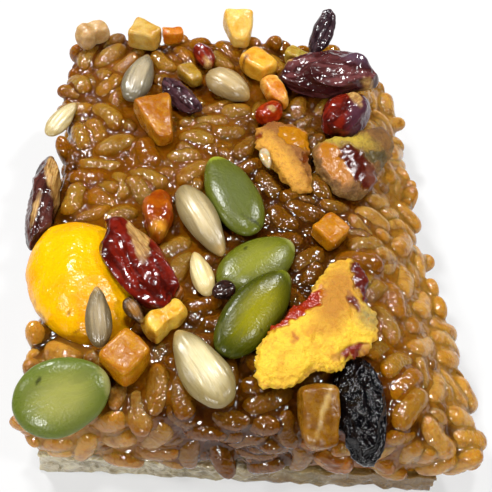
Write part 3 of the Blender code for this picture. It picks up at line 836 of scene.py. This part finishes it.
def pumpkin_look(name, face, edge, point):
    """A satin green skin with faint streaks along it, darker at its edge, partly as painted shade,
    and pale at its point.
    """
    look = Finish(name, (0.3, 1.2, (0.8, 1.0, 0.3)), IOR=1.36)
    streaks = look.grain(look.local((1.0, 3.2, 1)), 1.3, 3, 0.55, 0.4)
    # Darker towards the edge: partly the skin's own darker green, partly painted shade on the domed
    # face.
    color = look.mix(look.step(look.rim() + streaks * 0.3, 0.34, 1.08), face, edge)
    along = look.first(look.local())
    color = look.mix(look.step(along + streaks * 0.2, 0.88, 1.05), color, point)
    darker = tuple(0.55 * part for part in face)
    color = look.mix(look.step(streaks, 0.4, 0.75, 0, 0.3), color, darker)
    color = look.mix(look.stored("mark") * 0.8, color, CRACK)
    look.feed(Base_Color=color, Roughness=look.step(streaks, 0.3, 0.7, 0.22, 0.34))
    look.feed(Normal=look.bump(look.grain(look.place(), 2.6, 1), 0.045))
    return look


for name, (yaw, face, edge, point) in PUMPKIN_SEEDS.items():
    mesh, own = skin_over(name, yaw)
    swell(mesh, SEED_WAVE * lumps(own * (0.6, 1, 1), SEED_WAVE_SIZE))
    store(mesh, "mark", ovals(mesh, name, SEED_MARKS[name], fuzz=0.3, soft=0.12))
    add_piece(name, mesh, pumpkin_look(name, face, edge, point), "pumpkin", name)


# ---------------------------------------------------------------- sunflower kernels
# Shelled sunflower kernels, soaked in syrup until they are partly clear: blunt at one end,
# pointed at the other, with fine ribs from end to end. One small seed still has its husk.
KERNELS = {             # direction of the point, then the pale and the dark colour of its ribs
    "sunflower_kernel_1": (80, (0.32, 0.262, 0.166), (0.128, 0.109, 0.07)),
    "sunflower_kernel_2": (-38, (0.371, 0.275, 0.134), (0.218, 0.147, 0.058)),
    "sunflower_kernel_3": (-61, (0.422, 0.339, 0.186), (0.179, 0.134, 0.058)),
    "sunflower_kernel_4": (111, (0.58, 0.49, 0.26), (0.43, 0.33, 0.14)),
    "sunflower_kernel_5": (126, (0.525, 0.448, 0.256), (0.192, 0.147, 0.058)),
    "sunflower_kernel_6": (99, (0.294, 0.23, 0.134), (0.109, 0.077, 0.032)),
    "sunflower_kernel_7": (62, (0.512, 0.435, 0.243), (0.333, 0.256, 0.109)),
    "husk_seed": (-49, (0.218, 0.096, 0.013), (0.032, 0.012, 0.0026)),
}
KERNEL_TIP = (0.384, 0.243, 0.07)
RIBS = 13                # radians of ribs from the middle to the side
RIB_DEEP = 0.06
FULL_WIDE = 4            # narrower pieces have less relief


def narrowness(own):
    """1 for a piece at least FULL_WIDE across, and less for a narrower one."""
    return min(1, np.ptp(own[:, 1]) / FULL_WIDE)


def kernel_look(name, pale, dark):
    """Pale and slightly clear, darker in its ribs and at its edge, with a brown tip; the paler
    middle is partly a painted highlight.
    """
    look = Finish(name, (0.5, 1.4, (1.0, 0.8, 0.4)), IOR=1.45)
    ribs = look.grain(look.local((0.4, 3.6, 2.0)), 1.5, 3, 0.6, 0.3)
    clouds = look.grain(look.local((1.1, 1.4, 1.1)), 0.9, 3, 0.5)
    # Paler in the middle and darker at the edge: partly the kernel's greyer, clearer rim, partly a
    # painted highlight down the middle.
    color = look.mix(look.step(look.rim() + clouds * 0.7, 0.6, 1.3), pale, dark)
    color = look.mix(look.step(ribs, 0.46, 0.7, 0, 0.55), color, dark)
    tip = look.step(look.first(look.local()), 0.7, 1.0, 0, 0.6)
    color = look.mix(tip, color, KERNEL_TIP)
    look.feed(Base_Color=color, Roughness=look.step(clouds, 0.3, 0.7, 0.18, 0.34))
    look.feed(Normal=look.bump(ribs, 0.1))
    return look


for name, (yaw, pale, dark) in KERNELS.items():
    mesh, own = skin_over(name, yaw)
    x, y, _ = spots_of(mesh).T
    ribs = np.cos(RIBS * y) * (1 - np.clip(x * x, 0, 1))
    swell(mesh, (RIB_DEEP * ribs + 0.12 * lumps(own * (0.5, 1, 1), 1.6)) * narrowness(own))
    slot = "husk" if name == "husk_seed" else "kernel"
    add_piece(name, mesh, kernel_look(name, pale, dark), slot, name)


# ---------------------------------------------------------------- chopped nuts
# Peanut, almond and walnut chopped by knife, with flat cuts and rounded corners. Honey has
# turned some amber and clear, and glazed all of them.
NUTS = {                # the main colour, and the colour of its patches
    1: ((0.36, 0.150, 0.001), (0.29, 0.098, 0.0005)),
    2: ((0.563, 0.358, 0.045), (0.461, 0.224, 0.01)),
    3: ((0.26, 0.080, 0.0004), (0.35, 0.15, 0.006)),
    4: ((0.55, 0.294, 0.029), (0.448, 0.186, 0.0051)),
    5: ((0.384, 0.109, 0.0013), (0.538, 0.269, 0.045)),
    6: ((0.595, 0.397, 0.096), (0.55, 0.294, 0.026)),
    7: ((0.448, 0.294, 0.07), (0.384, 0.205, 0.026)),
    8: ((0.448, 0.147, 0.0038), (0.352, 0.09, 0.0013)),
    9: ((0.448, 0.301, 0.141), (0.32, 0.179, 0.058)),
    10: ((0.35, 0.135, 0.001), (0.28, 0.09, 0.0005)),
    11: ((0.282, 0.166, 0.016), (0.218, 0.109, 0.0051)),
    12: ((0.346, 0.256, 0.038), (0.256, 0.147, 0.013)),
    13: ((0.32, 0.128, 0.013), (0.211, 0.064, 0.0032)),
    14: ((0.192, 0.083, 0.0038), (0.128, 0.045, 0.00064)),
}
NUT_MARKS = {           # brown skin left on, and a pale groove
    4: ((-2.2, -0.6, 1.2, 0.6, 60), (0.102, 0.029, 0.0038)),
    5: ((1.0, 1.6, 3.4, 0.7, -50), (0.589, 0.384, 0.141)),
    14: ((0.6, 0.2, 5.6, 0.5, 74), (0.384, 0.256, 0.09)),
}
NO_OVAL = (0, 0, 0.02, 0.02, 0)     # for a piece without a mark
WAISTED = (2, 9)         # nuts that narrow in the middle, how deep, and over what share
WAIST_DEEP = 0.4
WAIST_LONG = 0.22
NUT_CREASE = 0.3


def nut_look(name, face, second, mark):
    """Waxy, with clearer patches, fine darker flecks and perhaps a mark of its own."""
    look = Finish(name, (0.6, 1.5, (1.0, 0.6, 0.15)), IOR=1.36)
    spot = look.place()
    patches = look.grain(spot, 0.42, 4, 0.6, 0.4)
    color = look.mix(look.step(patches, 0.40, 0.64), face, second)
    color = look.mix(look.stored("mark"), color, mark)
    fine = look.grain(spot, 1.5, 4, 0.65)
    flecks = tuple(0.5 * part for part in second)
    color = look.mix(look.step(fine, 0.5, 0.75, 0, 0.3), color, flecks)
    look.feed(Base_Color=color, Roughness=look.step(fine, 0.3, 0.7, 0.2, 0.42))
    look.feed(Normal=look.bump(look.grain(spot, 1.3, 2), 0.09))
    return look


for number, (face, second) in NUTS.items():
    name = f"nut_{number}"
    row, mark = NUT_MARKS.get(number, (NO_OVAL, face))
    mesh, own = skin_over(name, crease=NUT_CREASE)
    waist = np.exp(-(spots_of(mesh)[:, 0] / WAIST_LONG) ** 2) * (WAIST_DEEP * (number in WAISTED))
    swell(mesh, 0.26 * lumps(own, 2.3, number) + 0.07 * lumps(own, 0.8) - waist)
    store(mesh, "mark", ovals(mesh, name, row))
    add_piece(name, mesh, nut_look(name, face, second, mark), "nut", name)


# ---------------------------------------------------------------- jujube skin
# Dried red dates torn by hand: a thin glossy skin, maroon to purple black, wrinkled along its
# length, with fibrous tan flesh where it has split.
JUJUBE_SKIN = {         # direction, dark, bright, depth and size of its folds, then its bare flesh
    "jujube_1": (2, (0.027, 0.0045, 0.0045), (0.109, 0.032, 0.032), 0.60, 2.8,
                 (-6.9, 1.4, 2.6, 1.5, 40), (6.6, -2.6, 2.2, 0.8, 10)),
    "jujube_2": (62, (0.013, 0.0051, 0.0077), (0.058, 0.032, 0.038), 0.20, 2.0),
    "jujube_3": (58, (0.038, 0.0026, 0.0013), (0.134, 0.0083, 0.0026), 0.32, 3.4,
                 (0.8, 2.6, 6.2, 2.0, -72)),
    "jujube_6": (30, (0.154, 0.0077, 0.00064), (0.256, 0.022, 0.00064), 0.12, 2.0,
                 (0.3, -0.4, 1.5, 1.0, 0)),
    "jujube_7": (-88, (0.019, 0.0045, 0.0032), (0.07, 0.019, 0.014), 0.40, 2.6,
                 (1.0, 3.4, 10.5, 1.9, 104), (-0.4, -3.4, 4.5, 0.9, 84)),
    "jujube_8": (0, (0.038, 0.0019, 0.00064), (0.128, 0.0064, 0.0019), 0.55, 3.4,
                 (-0.9, 3.8, 11.5, 2.6, 106), (-2.6, 7.2, 5.0, 3.6, 40)),
    "jujube_10": (-44, (0.013, 0.0032, 0.0045), (0.07, 0.029, 0.035), 0.35, 2.4),
    "jujube_11": (-55, (0.07, 0.0032, 0.00064), (0.179, 0.016, 0.0032), 0.15, 2.0,
                  (0.8, -1.9, 2.0, 1.0, -50)),
    "jujube_12": (39, (0.0077, 0.0026, 0.0019), (0.032, 0.013, 0.01), 0.15, 2.0),
}
OTHER_LOBE_AND_SHEEN = {         # another lobe of the same skin: red on jujube_8; purple-grey on jujube_1 and jujube_3, partly painted sheen
    "jujube_1": ((5.5, 2.0, 7.0, 4.5, 20), (0.064, 0.035, 0.054)),
    "jujube_3": ((2.7, -0.6, 9.0, 4.6, 62), (0.054, 0.02, 0.032)),
    "jujube_8": ((3.4, 2.2, 6.0, 3.6, 95), (0.154, 0.0077, 0.0013)),
}
DRY_FLESH = (0.192, 0.083, 0.01)
TAN_FLESH = (0.397, 0.23, 0.064)
DEEP_FOLDS = 0.3         # folds deeper than this need a finer skin


def skin_look(name, dark, bright, second):
    """Glossy red to purple skin, with rough tan flesh where it has split."""
    look = Finish(name, (0.12, 1.0, (1.0, 0.15, 0.08)), IOR=1.42)
    patches = look.grain(look.local((1.0, 1.8, 1.8)), 1.2, 3, 0.55, 0.5)
    fibres = look.grain(look.local((1.5, 6, 4)), 1.6, 3, 0.65)
    color = look.mix(look.step(patches, 0.38, 0.66), dark, bright)
    # The purple-grey lobes of jujube_1 and jujube_3 are partly a painted sheen.
    color = look.mix(look.stored("second") * 0.85, color, second)
    flesh = look.mix(look.step(fibres, 0.35, 0.65), DRY_FLESH, TAN_FLESH)
    bare = look.stored("bare")
    fine = look.grain(look.place(), 0.8, 2)
    look.feed(Base_Color=look.mix(bare, color, flesh))
    look.feed(Roughness=look.step(fine, 0.3, 0.7, 0.10, 0.22) + bare * 0.4)
    look.feed(Normal=look.bump(fine, 0.11))
    return look


for name, (yaw, dark, bright, deep, size, *bare) in JUJUBE_SKIN.items():
    mesh, own = skin_over(name, yaw, 4 if deep > DEEP_FOLDS else 3)
    lobe, second = OTHER_LOBE_AND_SHEEN.get(name, (NO_OVAL, dark))
    store(mesh, "bare", ovals(mesh, name, *bare) if bare else np.zeros(len(mesh.vertices)))
    store(mesh, "second", ovals(mesh, name, lobe, soft=0.6))
    swell(mesh, deep * (folds(own * (0.45, 1, 1), size) - 0.2) + 0.06 * folds(own, 1.2))
    add_piece(name, mesh, skin_look(name, dark, bright, second), "skin", name)


# ---------------------------------------------------------------- jujube flesh
# The same dates turned inside out: dry yellow flesh, felted with short fibres and ragged at its
# torn edges, with scraps of glossy red skin along them.
JUJUBE_FLESH = {        # flesh, shaded and edge colours
    "jujube_4": ((0.135, 0.054, 0.003), (0.060, 0.020, 0.001), (0.22, 0.13, 0.028)),
    "jujube_5": ((0.185, 0.062, 0.001), (0.154, 0.038, 0.00064), (0.397, 0.179, 0.013)),
    "jujube_9": ((0.60, 0.375, 0.016), (0.39, 0.150, 0.002), (0.38, 0.20, 0.025)),
}
PATCHES = {             # an oval, its colour, and how glossy it is
    "jujube_4": (((-2.6, 2.6, 11.0, 4.6, -6), (0.32, 0.218, 0.013), 0.0),
                 ((-3.2, -3.2, 8.5, 4.2, -62), (0.30, 0.105, 0.002), 0.5),
                 ((0.2, -3.0, 8.6, 4.4, -62), (0.051, 0.0045, 0.0013), 1.0),
                 ((2.9, -4.8, 6.0, 2.6, -80), (0.102, 0.029, 0.016), 0.9),
                 # Painted shade: a dark olive oval.
                 ((3.6, 0.2, 5.0, 2.2, 24), (0.064, 0.042, 0.0077), 0.4)),
    "jujube_5": (((-0.8, -1.2, 16.0, 3.8, -56), (0.47, 0.225, 0.013), 0.0),
                 ((1.8, 3.6, 6.0, 4.4, -20), (0.32, 0.122, 0.0019), 0.9),
                 ((3.4, -0.6, 1.2, 3.2, -20), (0.102, 0.019, 0.00064), 0.6),
                 ((-4.4, 3.8, 2.2, 1.6, 30), (0.128, 0.019, 0.0019), 0.8)),
    # jujube_9's first two ovals, orange and olive-grey, are painted shade.
    "jujube_9": (((2.6, 3.0, 11.0, 5.0, 72), (0.34, 0.142, 0.003), 0.0),
                 ((6.8, 0.4, 2.8, 3.2, 0), (0.23, 0.16, 0.038), 0.0),
                 ((-3.3, 0.8, 10.0, 3.4, 36), (0.23, 0.014, 0.00064), 1.0),
                 ((6.4, 6.0, 7.5, 3.2, -78), (0.077, 0.0064, 0.0019), 1.0),
                 ((4.9, 2.2, 2.6, 1.3, -60), (0.096, 0.013, 0.0026), 0.6),
                 ((4.6, -4.6, 4.6, 1.2, 28), (0.141, 0.012, 0.0026), 0.6),
                 ((-3.0, -3.6, 1.0, 0.6, -80), (0.269, 0.051, 0.0019), 0.2)),
}
LARGEST = "jujube_9"     # has a finer skin
EDGE_STEEP = (1.6, 0.3)  # how quickly a slope turns to the edge's colour, and from where
TEARS = ((0.55, 1.6), (0.40, 0.8), (0.2, 0.4))      # depth and size of its ragged lumps


def flesh_look(name, flesh, shaded, edge):
    """Dry, felted flesh with glossy scraps of skin; what is glossy is also smooth."""
    look = Finish(name, (0.45, 1.4, (1.0, 0.6, 0.15)), IOR=1.42)
    spot = look.place()
    felt = look.grain(spot, 1.2, 5, 0.7, 0.8)
    shade = look.step(look.grain(spot, 0.26, 4, 0.6), 0.44, 0.70, 0, 0.75)
    color = look.mix(shade, flesh, shaded)
    gloss = 0.0
    # Some patches are painted shade, not skin: jujube_4's dark olive oval and jujube_9's orange and
    # olive-grey ovals.
    for number, (_, patch, wet) in enumerate(PATCHES[name]):
        share = look.stored(f"patch_{number}")
        color = look.mix(share, color, patch)
        gloss = share * wet + gloss
    dry = look.step(gloss, 0.1, 0.6, 1, 0)
    color = look.mix(look.stored("edge") * look.step(felt, 0.4, 0.62) * dry, color, edge)
    color = look.mix(look.step(felt, 0.5, 0.74, 0, 0.75) * dry, color, shaded)
    look.feed(Base_Color=color, Roughness=0.2 + dry * 0.48)
    look.feed(Normal=look.bump(look.grain(spot, 1.5, 3, 0.6) * (0.2 + dry * 0.8), 0.36))
    return look


for name, colors in JUJUBE_FLESH.items():
    mesh, own = skin_over(name, levels=4 if name == LARGEST else 3)
    for number, (row, _, wet) in enumerate(PATCHES[name]):
        patch = ovals(mesh, name, row, fuzz=0.7, soft=0.25 if wet else 1.0)
        store(mesh, f"patch_{number}", patch)
    steep = 1 - np.abs(normals_of(mesh)[:, 2])
    store(mesh, "edge", np.clip(steep * EDGE_STEEP[0] - EDGE_STEEP[1], 0, 1))
    spots = points_of(mesh)
    torn = sum(deep * lumps(spots, size) for deep, size in TEARS)
    swell(mesh, torn * (0.35 + 0.9 * steep))
    add_piece(name, mesh, flesh_look(name, *colors), "flesh", name)


# ---------------------------------------------------------------- clear candied fruit
# Small pieces of dried fruit that are clear orange right through, wet with syrup, and a flake
# of nut that lies on the jujube.
CLEAR_FRUIT = {         # slot, direction, dark, bright, then its bright spot
    "candied_fruit": ("candied", -86, (0.17, 0.020, 0.0003), (0.27, 0.062, 0.001),
                      (0.7, -3.0, 2.4, 1.8, 0)),
    "jujube_13": ("candied", -20, (0.128, 0.035, 0.0013), (0.269, 0.096, 0.0064),
                  (0.0, 0.5, 2.6, 1.2, 20)),
    "nut_flake": ("kernel", -73, (0.282, 0.218, 0.109), (0.397, 0.333, 0.205),
                  (0, 0, 0.6, 0.5, 0)),
}
GLOW = (0.544, 0.269, 0.019)


def clear_look(name, dark, bright):
    """Clear right through, with cloudy patches and one place where light comes through."""
    look = Finish(name, (0.6, 2.0, (1.0, 0.3, 0.05)), IOR=1.40)
    spot = look.place()
    patches = look.grain(spot, 0.35, 3, 0.6)
    color = look.mix(look.step(patches, 0.4, 0.65), dark, bright)
    color = look.mix(look.stored("spot_bright") * 0.8, color, GLOW)
    fine = look.grain(spot, 1.4, 4, 0.65)
    look.feed(Base_Color=color, Roughness=look.step(fine, 0.3, 0.7, 0.05, 0.14))
    look.feed(Normal=look.bump(look.grain(spot, 1.0, 1), 0.2))
    return look


for name, (slot, yaw, dark, bright, spot) in CLEAR_FRUIT.items():
    mesh, own = skin_over(name, yaw)
    store(mesh, "spot_bright", ovals(mesh, name, spot, soft=0.6))
    swell(mesh, (0.2 * lumps(own, 1.6) + 0.08 * lumps(own, 0.7)) * narrowness(own))
    add_piece(name, mesh, clear_look(name, dark, bright), slot, name)


# ---------------------------------------------------------------- table, light and camera
# A plain pale table, lit evenly, in a dim white room, and small bright lamps, which give wet
# things their glints. The camera looks down on the front of the cake.
TABLE_HALF = 5           # metres
TABLE_GREY = (0.25, 0.25, 0.25, 1)
WHITE = (1, 1, 1, 1)
TABLE_GLOW = 0.5
ROOM_GLOW = 0.04
NEAREST = 0.005          # metres: the camera sees nothing closer
EYE = Vector((-2.92, -82.0, 117.84)) * MM
AIM = Vector((-0.17, -3.35, 12.0)) * MM
ROLL = math.radians(5)
LENS = 62.2
LAMPS = {               # place in metres, side in metres, watts
    "back_left": ((-0.26, 0.30, 0.52), 0.08, 3.3),
    "back_right": ((0.27, 0.30, 0.50), 0.06, 2.2),
    "top": ((-0.02, 0.04, 0.66), 0.06, 1.8),
    "left": ((-0.42, -0.08, 0.40), 0.05, 0.95),
    "right": ((0.38, -0.14, 0.42), 0.05, 0.95),
    "front": ((-0.08, -0.44, 0.26), 0.06, 1.7),
}


def lamp(name, spot, size, power):
    """A square lamp that faces the cake."""
    light = bpy.data.lights.new(name, "AREA")
    light.size = size
    light.energy = power
    thing = show(name, light)
    thing.location = spot
    thing.rotation_euler = (-Vector(spot)).to_track_quat("-Z", "Y").to_euler()


bm = bmesh.new()
bmesh.ops.create_grid(bm, x_segments=1, y_segments=1, size=TABLE_HALF)
table = show("table", to_mesh("table", bm, 1))
table_look = Finish("white_table", Base_Color=TABLE_GREY, Roughness=0.9,
                    Emission_Color=WHITE, Emission_Strength=TABLE_GLOW)
table.data.materials.append(table_look.material)

for name, (spot, size, power) in LAMPS.items():
    lamp(name, spot, size, power)

world = bpy.data.worlds.new("room")
bpy.context.scene.world = world
world.use_nodes = True
background = world.node_tree.nodes["Background"]
background.inputs["Color"].default_value = WHITE
background.inputs["Strength"].default_value = ROOM_GLOW
bpy.context.scene.view_settings.view_transform = "Standard"

back = (EYE - AIM).normalized()
right = Vector((0, 0, 1)).cross(back).normalized()
up = back.cross(right)
tilted_right = right * math.cos(ROLL) + up * math.sin(ROLL)
tilted_up = up * math.cos(ROLL) - right * math.sin(ROLL)
camera = show("camera", bpy.data.cameras.new("camera"))
camera.data.lens = LENS
camera.data.clip_start = NEAREST
turn = Matrix((tilted_right, tilted_up, back)).transposed().to_4x4()
camera.matrix_world = Matrix.Translation(EYE) @ turn
bpy.context.scene.camera = camera
